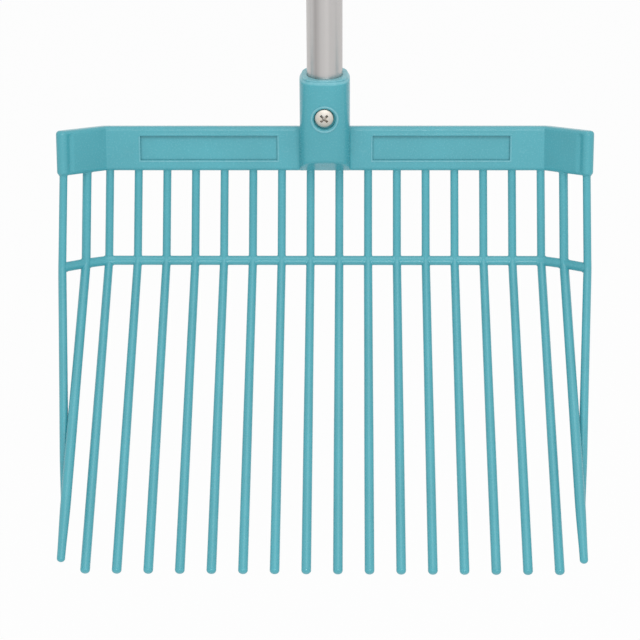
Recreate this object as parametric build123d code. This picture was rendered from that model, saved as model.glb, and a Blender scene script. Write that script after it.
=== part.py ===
from build123d import *
import math
import os

# Manure fork: a moulded plastic basket head with twenty round tines on an aluminium tube.
# X runs across the head, to the right as seen from the loading side.
# Z runs up the handle, and Y points away from the loading side.
# The origin is on the handle's axis, at the mouth of the head's socket.
# Lengths are in millimetres and angles in degrees.

# Handle tube
tube_diameter = 25.4
tube_wall = 1.2
tube_above_mouth = 1196.0
tube_in_socket = 54.0
tube_end_round = 0.3

# End cap of the handle
cap_head_length = 34.0
cap_top_round = 7.0
cap_plug_length = 28.0
cap_plug_wall = 2.2
cap_plug_clearance = 0.05
cap_plug_lead = 1.0
hang_hole_diameter = 8.0
hang_hole_below_top = 15.0

# Socket of the head
socket_diameter = 36.0
socket_bore_clearance = 0.1
socket_mouth_chamfer = 2.6
socket_bore_lead = 0.5
socket_front_length = 60.6
socket_rear_length = 58.0
socket_root_fillet = 7.0

# Clamping screw, through socket and tube
screw_below_mouth = 28.1
screw_diameter = 6.0
screw_length = 35.0
screw_head_diameter = 13.1
screw_head_height = 3.3
screw_head_edge = 2.2
screw_point_chamfer = 0.8
recess_span = 6.2
recess_width = 1.3
recess_depth = 1.9
recess_turns = (45.0, 135.0)
screw_seat_skin = 0.8
plastic_hole_clearance = 0.2
tube_hole_clearance = 0.3
counterbore_diameter = 15.8
ring_diameter = 19.2
ring_height = 0.5

# Lock nut, held in a hexagonal pocket behind the socket
nut_across_flats = 10.0
nut_height = 6.0
nut_collar_diameter = 8.8
nut_collar_height = 1.6
nut_corner_chamfer = 0.4
nut_pocket_clearance = 0.1
nut_boss_diameter = 19.0
nut_below_boss = 2.4
boss_rim_round = 0.5

# Crossbeam of the head and its two wings
beam_top_below_mouth = 40.3
beam_front_behind_axis = 0.7
beam_lean = 13.0
beam_height = 32.0
beam_thickness = 9.0
beam_edge_round = 2.0
fold_beyond_tine = 1.8
wing_fold = 45.0
fold_back_round = 10.0

# Bare recessed panels in the front of the crossbeam
panel_height = 17.6
panel_below_top = 6.7
panel_depth = 1.0
panel_from_socket = 16.4
panel_from_fold = 24.6

# Tines
flat_tine_count = 16
tine_pitch = 20.8
tine_diameter = 6.1
upper_lean = 30.4
upper_length = 66.1
lower_lean = 57.8
lower_length = 247.9
bend_radius = 15.0
first_wing_tine = 16.4
wing_tine_pitch = 21.2
second_lower_length = 235.6
outer_lower_lean = 51.0
outer_lower_inward = 4.1
outer_lower_length = 184.0

# Cross rib, an oval that stands along the tines
rib_height = 6.9
rib_depth = 5.5

os.makedirs("parts", exist_ok=True)

tube_radius = tube_diameter / 2
tube_inner_radius = tube_radius - tube_wall
socket_radius = socket_diameter / 2
bore_radius = tube_radius + socket_bore_clearance
tine_radius = tine_diameter / 2
seat = bore_radius + screw_seat_skin


def leaning_down(lean, inward=0.0):
    """Unit vector that goes down and leans towards the loading side, and inward from +X."""
    flat = math.cos(math.radians(inward))
    across = -math.sin(math.radians(inward))
    forward = -flat * math.sin(math.radians(lean))
    down = -flat * math.cos(math.radians(lean))
    return Vector(across, forward, down)


def write(shape, name):
    """Write one node."""
    shape.label = name
    export_step(shape, "parts/" + name + ".step")


def mirrored(shape):
    """The same solid on the other side of the handle."""
    return mirror(shape, about=Plane.YZ)


# The beam's own frame: its origin is the middle of the front top edge,
# its y goes through the thickness to the back and its z goes up the height.
beam_origin = Vector(0, beam_front_behind_axis, -beam_top_below_mouth)
beam_up = leaning_down(beam_lean) * -1
beam_plane = Plane(origin=beam_origin, x_dir=(1, 0, 0), z_dir=beam_up)

# Places across the head, in the beam's frame
half_turn = math.radians(wing_fold) / 2
middle = beam_thickness / 2
last_flat_x = (flat_tine_count - 1) / 2 * tine_pitch
fold_x = last_flat_x + fold_beyond_tine
fold_middle = Vector(fold_x + middle * math.tan(half_turn), middle, 0)
fold_back = Vector(fold_x + beam_thickness * math.tan(half_turn), beam_thickness, 0)
wing_along = Vector(math.cos(2 * half_turn), -math.sin(2 * half_turn), 0)
wing_front = Vector(-math.sin(2 * half_turn), -math.cos(2 * half_turn), 0)
second_place = fold_middle + wing_along * first_wing_tine
outer_place = fold_middle + wing_along * (first_wing_tine + wing_tine_pitch)

# Half of the beam with its wing, seen from above: the wing ends in a full round
# about the outermost tine.
with BuildSketch(beam_plane) as half_plan:
    with BuildLine():
        nose_front = outer_place + wing_front * middle
        nose_tip = outer_place + wing_along * middle
        nose_back = outer_place - wing_front * middle
        Polyline((0, 0), (fold_x, 0), (nose_front.X, nose_front.Y))
        ThreePointArc(
            (nose_front.X, nose_front.Y),
            (nose_tip.X, nose_tip.Y),
            (nose_back.X, nose_back.Y),
        )
        Polyline(
            (nose_back.X, nose_back.Y),
            (fold_back.X, fold_back.Y),
            (0, beam_thickness),
            (0, 0),
        )
    make_face()
    back_corner = half_plan.vertices().sort_by_distance(beam_plane.from_local_coords(fold_back))
    fillet(back_corner[0], radius=fold_back_round)

half_beam = extrude(half_plan.sketch, amount=-beam_height, dir=tuple(beam_up))
rims = half_beam.faces().filter_by(beam_plane, reverse=False)
rim_edges = ShapeList(edge for face in rims for edge in face.edges())
half_beam = fillet(rim_edges, radius=beam_edge_round)

# The mitre at the fold parts the beam from its wing.
fold_point = beam_plane.from_local_coords(Vector(fold_x, 0, 0))
mitre_across = beam_plane.x_dir * math.cos(half_turn)
mitre_out = mitre_across - beam_plane.y_dir * math.sin(half_turn)
mitre = Plane(origin=fold_point, x_dir=beam_up, z_dir=mitre_out)
beam_half = split(half_beam, bisect_by=mitre, keep=Keep.BOTTOM)
wing_right = split(half_beam, bisect_by=mitre, keep=Keep.TOP)

# Socket: a barrel whose foot slopes back to the beam's bottom, front and rear,
# with a hollow fillet on each side where it meets the beam's front.
beam_down = leaning_down(beam_lean)
bottom_front = beam_origin + beam_down * beam_height
bottom_back = bottom_front + beam_plane.y_dir * beam_thickness
barrel = Cylinder(socket_radius, 2 * socket_diameter + socket_front_length)
barrel = Pos(0, 0, -barrel.bounding_box().size.Z / 2) * barrel
barrel = chamfer(barrel.edges().group_by(Axis.Z)[-1], length=socket_mouth_chamfer)

fillet_rise = Vector(0, beam_front_behind_axis, 0) + beam_down * (beam_height / 2)
fillet_reach = socket_radius + socket_root_fillet
fillet_depth = socket_root_fillet - fillet_rise.Y
fillet_x = math.sqrt(fillet_reach**2 - fillet_depth**2)
with BuildSketch(beam_plane) as flare_plan:
    with Locations((fillet_x / 2, -socket_root_fillet / 2)):
        Rectangle(fillet_x, socket_root_fillet)
    with Locations((fillet_x, -socket_root_fillet)):
        Circle(socket_root_fillet, mode=Mode.SUBTRACT)
flare = extrude(flare_plan.sketch, amount=-beam_height, dir=tuple(beam_up))

with BuildSketch(Plane.YZ) as side_view:
    Polygon(
        (-socket_diameter, 0),
        (-socket_diameter, -socket_front_length),
        (-socket_radius, -socket_front_length),
        (bottom_front.Y, bottom_front.Z),
        (bottom_back.Y, bottom_back.Z),
        (socket_radius, -socket_rear_length),
        (socket_diameter, -socket_rear_length),
        (socket_diameter, 0),
        align=None,
    )
side_prism = extrude(side_view.sketch, amount=2 * socket_diameter, both=True)
socket = (barrel + flare + mirrored(flare)) & side_prism

# Raised ring and counterbore for the screw's head, in front
screw_axis = Pos(0, 0, -screw_below_mouth) * Rot(90, 0, 0)
ring_stock = Pos(0, 0, -screw_below_mouth) * Cylinder(socket_radius + ring_height, ring_diameter)
ring_post = screw_axis * Cylinder(ring_diameter / 2, socket_diameter)
ring_front = Pos(0, -socket_diameter / 2, -screw_below_mouth) * Box(
    ring_diameter, socket_diameter, ring_diameter
)
socket += ring_stock & ring_post & ring_front
counterbore = screw_axis * Pos(0, 0, seat) * Cylinder(
    counterbore_diameter / 2, socket_diameter, align=(Align.CENTER, Align.CENTER, Align.MIN)
)

# Boss with a hexagonal pocket for the nut, behind
rear_axis = Pos(0, 0, -screw_below_mouth) * Rot(-90, 0, 0)
boss_end = seat + nut_height + nut_below_boss
boss = rear_axis * Cylinder(
    nut_boss_diameter / 2, boss_end, align=(Align.CENTER, Align.CENTER, Align.MIN)
)
pocket_flats = nut_across_flats + 2 * nut_pocket_clearance
pocket_plan = RegularPolygon(pocket_flats / 2, 6, major_radius=False)
pocket = rear_axis * Pos(0, 0, seat) * extrude(pocket_plan, amount=socket_diameter)
screw_hole = screw_axis * Cylinder(screw_diameter / 2 + plastic_hole_clearance, 2 * socket_diameter)
boss_rim = boss.edges().group_by(Axis.Y)[-1]
boss = fillet(boss_rim, radius=boss_rim_round)

bore = Cylinder(
    bore_radius, tube_in_socket, align=(Align.CENTER, Align.CENTER, Align.MAX)
)
lead_in = Cone(
    bore_radius,
    bore_radius + socket_bore_lead,
    socket_bore_lead,
    align=(Align.CENTER, Align.CENTER, Align.MAX),
)
socket = socket + boss - bore - lead_in - counterbore - pocket - screw_hole
write(socket, "head_socket")

# Crossbeam halves, from the socket to the fold, each with its recessed panel
panel_start = socket_radius + panel_from_socket
panel_length = fold_x - panel_from_fold - panel_start
panel_middle = panel_below_top + panel_height / 2
panel = beam_plane * Pos(panel_start + panel_length / 2, 0, -panel_middle) * Box(
    panel_length, 2 * panel_depth, panel_height
)
beam_right = beam_half - socket - bore - screw_hole - panel
beam_right = beam_right.solids().sort_by(SortBy.VOLUME)[-1]
write(beam_right, "beam_right")
write(mirrored(beam_right), "beam_left")
write(wing_right, "wing_right")
write(mirrored(wing_right), "wing_left")

# Tines: each leaves the beam's bottom, bends at the rib and ends in a round tip.
upper_way = leaning_down(upper_lean)
lower_way = leaning_down(lower_lean)
outer_way = leaning_down(outer_lower_lean, outer_lower_inward)
root_reach = 2 * beam_edge_round


def tine(place, way, length, neighbours):
    """A round rod from the beam, with the bend's middle, which the rib runs through."""
    root = beam_plane.from_local_coords(place - Vector(0, 0, beam_height))
    corner = root + upper_way * upper_length
    start = root - upper_way * root_reach
    end = corner + way * (length - tine_radius)
    path = FilletPolyline(start, corner, end, radius=bend_radius)
    section = Plane(origin=start, z_dir=upper_way) * Circle(tine_radius)
    rod = sweep(section, path=path)
    rod += Pos(end) * Sphere(tine_radius)
    for neighbour in neighbours:
        rod -= neighbour
    turn = upper_way.get_angle(way)
    inside = (way - upper_way).normalized()
    sag = bend_radius / math.cos(math.radians(turn / 2)) - bend_radius
    return rod, corner + inside * sag


right_tines = []
right_bends = []
for index in range(flat_tine_count // 2):
    x = (index + 0.5) * tine_pitch
    rod, bend = tine(
        Vector(x, middle, 0), lower_way, lower_length, [socket, beam_right, wing_right]
    )
    right_tines.append(rod)
    right_bends.append(bend)
for place, way, length in (
    (second_place, lower_way, second_lower_length),
    (outer_place, outer_way, outer_lower_length),
):
    rod, bend = tine(place, way, length, [wing_right])
    right_tines.append(rod)
    right_bends.append(bend)

half_count = len(right_tines)
for index, rod in enumerate(right_tines):
    write(rod, "tine_%02d" % (half_count + 1 + index))
    write(mirrored(rod), "tine_%02d" % (half_count - index))

# Cross rib: one short bar in each space between two tines, cut to their round sides
rib_down = (upper_way + lower_way).normalized()
rib_bars = []
for index in range(half_count):
    outer_end = right_bends[index]
    inner_end = right_bends[index - 1]
    inner_tine = right_tines[index - 1]
    if index == 0:
        inner_end = Vector(-outer_end.X, outer_end.Y, outer_end.Z)
        inner_tine = mirrored(right_tines[0])
    along = outer_end - inner_end
    section = Plane(origin=inner_end, x_dir=rib_down, z_dir=along) * Ellipse(
        rib_height / 2, rib_depth / 2
    )
    bar = extrude(section, amount=along.length, dir=tuple(along))
    bar = bar - inner_tine - right_tines[index]
    bar = bar.solids().sort_by(SortBy.VOLUME)[-1]
    rib_bars.append(bar)
    if index > 0:
        rib_bars.append(mirrored(bar))
write(Compound(children=rib_bars), "cross_rib")

# Handle tube, with a hole through both walls for the screw
tube_length = tube_above_mouth + tube_in_socket
tube = Cylinder(tube_radius, tube_length) - Cylinder(tube_inner_radius, tube_length)
tube = fillet(tube.edges(), radius=tube_end_round)
tube = Pos(0, 0, tube_length / 2 - tube_in_socket) * tube
tube -= screw_axis * Cylinder(screw_diameter / 2 + tube_hole_clearance, tube_diameter)
write(tube, "handle_tube")

# End cap: a plug in the tube, and a round head with a hole to hang the fork by
cap_head = Cylinder(
    tube_radius, cap_head_length, align=(Align.CENTER, Align.CENTER, Align.MIN)
)
cap_head = fillet(cap_head.edges().group_by(Axis.Z)[-1], radius=cap_top_round)
plug_radius = tube_inner_radius - cap_plug_clearance
plug = Cylinder(
    plug_radius, cap_plug_length, align=(Align.CENTER, Align.CENTER, Align.MAX)
)
plug = chamfer(plug.edges().group_by(Axis.Z)[0], length=cap_plug_lead)
plug_hollow = Cylinder(
    plug_radius - cap_plug_wall, cap_plug_length, align=(Align.CENTER, Align.CENTER, Align.MAX)
)
hang_hole = (
    Pos(0, 0, cap_head_length - hang_hole_below_top)
    * Rot(90, 0, 0)
    * Cylinder(hang_hole_diameter / 2, tube_diameter)
)
cap = cap_head + plug - plug_hollow - hang_hole
write(Pos(0, 0, tube_above_mouth) * cap, "handle_end_cap")

# Screw with a low domed head and a cross recess
screw_point = screw_length - screw_point_chamfer
point_radius = screw_diameter / 2 - screw_point_chamfer
with BuildSketch(Plane.XZ) as screw_half:
    with BuildLine():
        Polyline(
            (0, screw_head_height),
            (0, -screw_length),
            (point_radius, -screw_length),
            (screw_diameter / 2, -screw_point),
            (screw_diameter / 2, 0),
            (screw_head_diameter / 2, 0),
            (screw_head_diameter / 2, screw_head_edge),
        )
        TangentArc(
            (0, screw_head_height),
            (screw_head_diameter / 2, screw_head_edge),
            tangent=(1, 0),
        )
    make_face()
screw = revolve(screw_half.sketch, axis=Axis.Z)
for turn in recess_turns:
    slot = Rot(0, 0, turn) * Pos(0, 0, screw_head_height) * Box(
        recess_span, recess_width, 2 * recess_depth
    )
    screw -= slot
screw = Pos(0, -seat, 0) * screw_axis * screw
write(screw, "clamp_screw")

# Lock nut with a round collar
hexagon = extrude(
    RegularPolygon(nut_across_flats / 2, 6, major_radius=False),
    amount=nut_height - nut_collar_height,
)
corner_stock = Cylinder(
    nut_across_flats / math.sqrt(3), nut_height, align=(Align.CENTER, Align.CENTER, Align.MIN)
)
corner_stock = chamfer(corner_stock.edges().group_by(Axis.Z)[0], length=nut_corner_chamfer)
collar = Cylinder(
    nut_collar_diameter / 2, nut_height, align=(Align.CENTER, Align.CENTER, Align.MIN)
)
nut = (hexagon & corner_stock) + collar
nut -= Cylinder(screw_diameter / 2, 2 * nut_height)
write(rear_axis * Pos(0, 0, seat) * nut, "lock_nut")
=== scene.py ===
"""Manure fork: the looks of a moulded basket head on an aluminium handle.

Lengths are in metres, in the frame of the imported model: X across the head, Y away from the
loading side, Z up the handle, and the origin at the mouth of the head's socket.
"""
import math

import bmesh
import bpy
import numpy as np
from bpy.props import FloatProperty, FloatVectorProperty, PointerProperty
from mathutils import Matrix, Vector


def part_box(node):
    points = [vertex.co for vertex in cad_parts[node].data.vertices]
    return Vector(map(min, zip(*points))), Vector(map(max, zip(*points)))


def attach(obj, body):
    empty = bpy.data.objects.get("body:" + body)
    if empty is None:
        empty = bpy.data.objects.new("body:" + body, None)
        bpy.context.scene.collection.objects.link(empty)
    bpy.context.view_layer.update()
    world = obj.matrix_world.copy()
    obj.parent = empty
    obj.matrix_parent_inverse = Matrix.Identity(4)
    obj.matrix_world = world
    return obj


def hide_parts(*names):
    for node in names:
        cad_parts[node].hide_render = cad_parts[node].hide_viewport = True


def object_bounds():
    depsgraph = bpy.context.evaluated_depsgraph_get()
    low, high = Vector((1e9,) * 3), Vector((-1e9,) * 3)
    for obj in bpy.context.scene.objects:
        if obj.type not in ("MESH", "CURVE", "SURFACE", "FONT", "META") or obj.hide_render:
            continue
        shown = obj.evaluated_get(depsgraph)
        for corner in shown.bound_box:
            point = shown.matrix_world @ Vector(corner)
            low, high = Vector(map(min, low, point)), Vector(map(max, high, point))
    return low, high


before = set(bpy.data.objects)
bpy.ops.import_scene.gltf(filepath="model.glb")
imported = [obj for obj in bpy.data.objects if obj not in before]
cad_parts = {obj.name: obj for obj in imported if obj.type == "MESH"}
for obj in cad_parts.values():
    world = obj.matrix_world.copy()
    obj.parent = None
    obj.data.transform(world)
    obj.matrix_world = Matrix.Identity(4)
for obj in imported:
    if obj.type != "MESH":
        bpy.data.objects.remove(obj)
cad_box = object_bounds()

bl_info = {
    "name": "Manure Fork",
    "version": (1, 0, 0),
    "blender": (4, 5, 0),
    "location": "View3D > Sidebar > Fork",
    "description": "Builds the head, handle and fasteners of a manure fork",
    "category": "Object",
}

MM = 0.001
BODY = "root"

# Handle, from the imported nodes
tube_low, tube_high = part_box("handle_tube")
cap_low, cap_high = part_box("handle_end_cap")
TUBE_RADIUS = (tube_high.x - tube_low.x) / 2
TUBE_WALL = 1.2 * MM
CAP_BASE = tube_high.z
CAP_HEIGHT = cap_high.z - tube_high.z
HANG_HOLE_BELOW_TOP = 15 * MM

# Crossbeam: its own frame leans with its front face
BEAM_LEAN = math.radians(13.0)
BEAM_ORIGIN = np.array([0.0, 0.7, -40.3]) * MM
BEAM_ACROSS = np.array([1.0, 0.0, 0.0])
BEAM_BACK = np.array([0.0, math.cos(BEAM_LEAN), -math.sin(BEAM_LEAN)])
BEAM_UP = np.array([0.0, math.sin(BEAM_LEAN), math.cos(BEAM_LEAN)])
BEAM_HEIGHT = 32 * MM
BEAM_THICKNESS = 9 * MM
TINE_PITCH = 20.8 * MM
FLAT_TINES = 16
FOLD_X = (FLAT_TINES - 1) / 2 * TINE_PITCH + 1.8 * MM
WING_FOLD = math.radians(45.0)
FOLD_BACK_ROUND = 10 * MM
FIRST_WING_TINE = 16.4 * MM
OUTER_WING_TINE = (16.4 + 21.2) * MM
PANEL_X = (34.4 * MM, 133.2 * MM)
PANEL_Z = (-24.3 * MM, -6.7 * MM)
MARKS_X = (28.0 * MM, 142.4 * MM)
MARKS_Z = -15.4 * MM
MARK_RADIUS = 3.3 * MM
BEAD_HALF = 0.75 * MM

# Socket
SOCKET_RADIUS = 18 * MM
BORE_RADIUS = 12.8 * MM
BORE_DEPTH = 54 * MM
BORE_LEAD = 0.06 * MM
SCREW_Z = -28.1 * MM
BEAD_RADIUS = 9.35 * MM
SEAT = 13.6 * MM
FRONT_FOOT = (-18.0 * MM, -60.6 * MM)
REAR_FOOT = (18.0 * MM, -58.0 * MM)

# Tines, as angles below the horizontal's square and lengths of their two straight runs
UPPER_LEAN = math.radians(30.4)
LOWER_LEAN = math.radians(57.8)
OUTER_LEAN = math.radians(51.0)
OUTER_INWARD = math.radians(4.1)
UPPER_LENGTH = 66.1 * MM
FLAT_LENGTH = 247.9 * MM
SECOND_LENGTH = 235.6 * MM
OUTER_LENGTH = 184.0 * MM
BEND_RADIUS = 15 * MM
ROOT_REACH = 4 * MM
TIP_SETBACK = 1.0 * MM

# Fasteners
HEAD_RADIUS = 6.7 * MM
HEAD_HEIGHT = 3.3 * MM
HEAD_EDGE = 2.2 * MM
HEAD_PLAY = 0.35 * MM
SCREW_LENGTH = 35 * MM
SCREW_RADIUS = 3 * MM
NUT_FLATS = 10 * MM
NUT_HEIGHT = 6 * MM


def length(name, value, description):
    """A length that a user may change, in metres."""
    return FloatProperty(name=name, description=description, default=value, unit="LENGTH", precision=5)


def colour(name, value, description):
    """A colour that a user may change, in linear light."""
    return FloatVectorProperty(
        name=name, description=description, default=value, subtype="COLOR", size=3, min=0, max=1
    )


def share(name, value, description):
    """A share from 0 to 1 that a user may change."""
    return FloatProperty(
        name=name, description=description, default=value, subtype="FACTOR", min=0, max=1
    )


class ForkSizes(bpy.types.PropertyGroup):
    """Sizes of the fork's finer forms."""

    tine_diameter: length("Tine diameter", 5.9 * MM, "Thickness of a tine above the rib")
    tine_end_diameter: length("Tine end diameter", 6.45 * MM, "Thickness of a tine near its tip")
    tine_tip_round: length("Tine tip round", 2.3 * MM, "Corner round at the end of a tine")
    tine_root_fillet: length("Tine root fillet", 0.6 * MM, "Flare where a tine leaves the beam")
    rib_height: length("Rib height", 6.9 * MM, "Thickness of the oval cross rib along the tines")
    rib_depth: length("Rib depth", 5.5 * MM, "Thickness of the oval cross rib through the tines")
    rib_fillet: length("Rib fillet", 0.45 * MM, "Hollow round between the rib and a tine")
    beam_edge_round: length("Beam edge round", 2.6 * MM, "Round along the crossbeam's rims")
    panel_depth: length("Panel depth", 1.6 * MM, "Depth of the bare recessed panels")
    panel_wall: length("Panel wall", 0.2 * MM, "Width of the drafted wall round a panel")
    panel_bead: length("Panel bead", 0.24 * MM, "Height of the low bead round a panel")
    mark_depth: length("Ejector mark depth", 0.06 * MM, "Depth of the round ejector marks")
    nose_hollow: length("Nose hollow", 0.8 * MM, "Shallow hollow beside the wing's round end")
    socket_front_fillet: length("Socket front fillet", 2.4 * MM, "Hollow round beside the socket, in front")
    socket_back_fillet: length("Socket back fillet", 3 * MM, "Hollow round beside the socket, behind")
    mouth_slant: length("Mouth slant", 1.4 * MM, "Width of the slant round the socket's mouth")
    mouth_chamfer: length("Mouth drop", 2.9 * MM, "Drop of the slant round the socket's mouth")
    ring_height: length("Ring height", 0.7 * MM, "Height of the raised bead round the screw")
    hang_hole_diameter: length("Hanging hole", 8 * MM, "Diameter of the hole to hang the fork by")
    cap_round: length("Cap round", 7 * MM, "Round at the top of the end cap")


class ForkColours(bpy.types.PropertyGroup):
    """Colours and gloss of the fork's finishes."""

    plastic: colour("Moulded plastic", (0.082, 0.387, 0.45), "Teal of the head and the end cap")
    plastic_roughness: share("Plastic roughness", 0.25, "How matt the moulded plastic is")
    aluminium: colour("Aluminium", (0.55, 0.53, 0.52), "Drawn tube")
    zinc: colour("Zinc plating", (0.66, 0.635, 0.59), "Screw and nut")
    nylon: colour("Nylon", (0.62, 0.62, 0.58), "Locking ring of the nut")
    floor: colour("Floor", (0.8, 0.8, 0.8), "Plain pale floor")


def unit(vector):
    """A vector, or rows of vectors, at length one."""
    vector = np.asarray(vector, float)
    return vector / np.linalg.norm(vector, axis=-1, keepdims=True)


def smooth(share_done):
    """Ease from 0 to 1 with level ends: 3t^2 - 2t^3 of the share clipped to 0..1."""
    t = np.clip(share_done, 0, 1)
    return t * t * (3 - 2 * t)


def hollow(share_out):
    """Hollow quarter round: 1 at the wall, 0 at one radius away: 1 - sqrt(1 - (1 - t)^2)."""
    t = 1 - np.clip(share_out, 0, 1)
    return 1 - np.sqrt(1 - t * t)


def arc(start, end, steps):
    """Angles from start to end, in radians, both included; the limits are in degrees."""
    return np.radians(np.linspace(start, end, steps))


def grid(points, close_rows=False, close_columns=False):
    """Quads between neighbours in rows and columns of points."""
    rows, columns = points.shape[:2]
    r, c = np.meshgrid(
        np.arange(rows if close_rows else rows - 1),
        np.arange(columns if close_columns else columns - 1),
        indexing="ij",
    )
    below, beside = (r + 1) % rows, (c + 1) % columns
    corners = (r * columns + c, r * columns + beside, below * columns + beside, below * columns + c)
    return points.reshape(-1, 3), np.stack(corners, -1).reshape(-1, 4)


def opened(points, *blocks):
    """A grid closed round its columns, less blocks of (first row, last row, first column, count)."""
    columns = points.shape[1]
    places, quads = grid(points, close_columns=True)
    row, column = quads[:, 0] // columns, quads[:, 0] % columns
    for top, bottom, first, count in blocks:
        out = (row >= top) & (row < bottom) & ((column - first) % columns < count)
        quads, row, column = quads[~out], row[~out], column[~out]
    return places, quads


def border(points, top, bottom, first, count):
    """The points round a block of a closed grid, once round and in order."""
    columns = points.shape[1]
    across = (first + np.arange(count + 1)) % columns
    return np.concatenate([
        points[top, across[:-1]],
        points[top:bottom, across[-1]],
        points[bottom, across[:0:-1]],
        points[bottom:top:-1, across[0]],
    ])


def mirrored(points):
    """The same points on the other side of the handle."""
    return points * np.array([-1.0, 1.0, 1.0])


def piece(name, patches, finish, slot_name, *nodes):
    """One closed mesh from several patches, its doubles merged and its faces turned outwards."""
    starts = np.cumsum([0] + [len(points) for points, _ in patches[:-1]])
    points = np.concatenate([points for points, _ in patches])
    quads = np.concatenate([quads + start for (_, quads), start in zip(patches, starts)])
    mesh = bpy.data.meshes.new(name)
    mesh.from_pydata(points.tolist(), [], quads.tolist())
    shell = bmesh.new()
    shell.from_mesh(mesh)
    bmesh.ops.remove_doubles(shell, verts=shell.verts, dist=1e-6)
    bmesh.ops.recalc_face_normals(shell, faces=shell.faces)
    open_edges = sum(not edge.is_manifold for edge in shell.edges)
    shell.to_mesh(mesh)
    shell.free()
    if open_edges:
        raise RuntimeError("%s has %d open edges" % (name, open_edges))
    mesh.shade_smooth()
    mesh.set_sharp_from_angle(angle=math.radians(50))
    mesh.materials.append(finish)
    thing = bpy.data.objects.new(name, mesh)
    bpy.context.scene.collection.objects.link(thing)
    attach(thing, BODY)
    if nodes:
        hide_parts(*nodes)
    return thing


def in_beam(across, back, up):
    """Places in the beam's leaning frame, as points of the model."""
    across, back, up = np.broadcast_arrays(across, back, up)
    return (
        BEAM_ORIGIN
        + across[..., None] * BEAM_ACROSS
        + back[..., None] * BEAM_BACK
        + up[..., None] * BEAM_UP
    )


def leaning_down(lean, inward=0.0):
    """Unit vector that goes down and leans towards the loading side, and inward from +X."""
    flat = math.cos(inward)
    return np.array([-math.sin(inward), -flat * math.sin(lean), -flat * math.cos(lean)])


# Finishes


def nodes_of(name):
    """A new material, with its node tree and its shader."""
    finish = bpy.data.materials.new(name)
    finish.use_nodes = True
    tree = finish.node_tree
    return finish, tree, tree.nodes["Principled BSDF"]


def add(tree, kind, inputs=(), **settings):
    """A node with its settings, whose inputs are numbers or other nodes' outputs."""
    node = tree.nodes.new(kind)
    for key, value in settings.items():
        setattr(node, key, value)
    for socket, value in dict(inputs).items():
        if isinstance(value, bpy.types.NodeSocket):
            tree.links.new(value, node.inputs[socket])
        else:
            node.inputs[socket].default_value = value
    return node


def noise(tree, where, scale, detail=2.0, roughness=0.5):
    """Noise of a given scale, in features per metre."""
    return add(tree, "ShaderNodeTexNoise", {
        "Vector": where, "Scale": scale, "Detail": detail, "Roughness": roughness
    }).outputs["Fac"]


def between(tree, value, low, high, out_low, out_high):
    """Map a value from one range to another, held at the ends."""
    return add(tree, "ShaderNodeMapRange", {
        "Value": value, "From Min": low, "From Max": high, "To Min": out_low, "To Max": out_high
    }).outputs["Result"]


def tinted(tree, amount, first, second):
    """A colour between two, by an amount from 0 to 1."""
    mix = add(tree, "ShaderNodeMix", data_type="RGBA")
    tree.links.new(amount, mix.inputs[0])
    mix.inputs[6].default_value = (*first, 1)
    mix.inputs[7].default_value = (*second, 1)
    return mix.outputs[2]


def scaled(rgb, by):
    """A colour made lighter or darker, held at 1."""
    return tuple(min(1.0, channel * by) for channel in rgb)


def radius_of(tree, across, height):
    """Distance from an axis along Y, from the two other coordinates."""
    flat = add(tree, "ShaderNodeCombineXYZ", {"X": across, "Y": height}).outputs[0]
    return add(tree, "ShaderNodeVectorMath", {0: flat}, operation="LENGTH").outputs["Value"]


def banded(tree, value, middle, full, fade):
    """1 within a distance of a middle value, falling to 0 further away."""
    off = add(tree, "ShaderNodeMath", {0: value, 1: middle}, operation="SUBTRACT").outputs[0]
    away = add(tree, "ShaderNodeMath", {0: off}, operation="ABSOLUTE").outputs[0]
    return between(tree, away, full, fade, 1, 0)


def joined(tree, operation, *values):
    """Several values joined by one kind of sum, from left to right."""
    result = values[0]
    for value in values[1:]:
        result = add(tree, "ShaderNodeMath", {0: result, 1: value}, operation=operation).outputs[0]
    return result


def panel_painted_light(tree, where, across):
    """Painted shade in a panel's corners and a painted shadow under its top edge, and a painted highlight on its bead
    below the top edge, each from 0 to 1.
    """
    place = add(tree, "ShaderNodeVectorMath", {0: where, 1: tuple(BEAM_ORIGIN)}, operation="SUBTRACT")
    back, up = (
        add(tree, "ShaderNodeVectorMath", {0: place.outputs[0], 1: tuple(axis)}, operation="DOT_PRODUCT")
        .outputs["Value"]
        for axis in (BEAM_BACK, BEAM_UP)
    )
    along = add(tree, "ShaderNodeMath", {0: across}, operation="ABSOLUTE").outputs[0]
    below = joined(tree, "SUBTRACT", PANEL_Z[1], up)
    sides = joined(
        tree, "MINIMUM", joined(tree, "SUBTRACT", along, PANEL_X[0]),
        joined(tree, "SUBTRACT", PANEL_X[1], along), joined(tree, "SUBTRACT", up, PANEL_Z[0]),
    )
    inside = joined(tree, "MINIMUM", sides, below)
    # Painted shade: corner darkens within a millimetre of the walls and shade darkens the strip under the top edge,
    # where the recess would shadow itself.
    front = between(tree, back, 2.5 * MM, 3 * MM, 1, 0)
    corner = between(tree, inside, 0.3 * MM, 1.0 * MM, 0.6, 0)
    shade = between(tree, below, 0.6 * MM, 2.6 * MM, 1, 0)
    within = between(tree, inside, -0.2 * MM, 0, 0, 1)
    painted_shade = joined(tree, "MULTIPLY", joined(tree, "MAXIMUM", corner, shade), within, front)
    # Painted highlight: the bead is paled except along the top edge, where a lamp from above would glint.
    bead = banded(tree, inside, -BEAD_HALF, 0.3 * MM, 0.7 * MM)
    under = between(tree, below, 0, 0.5 * MM, 0, 1)
    return painted_shade, joined(tree, "MULTIPLY", bead, under, front)


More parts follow.
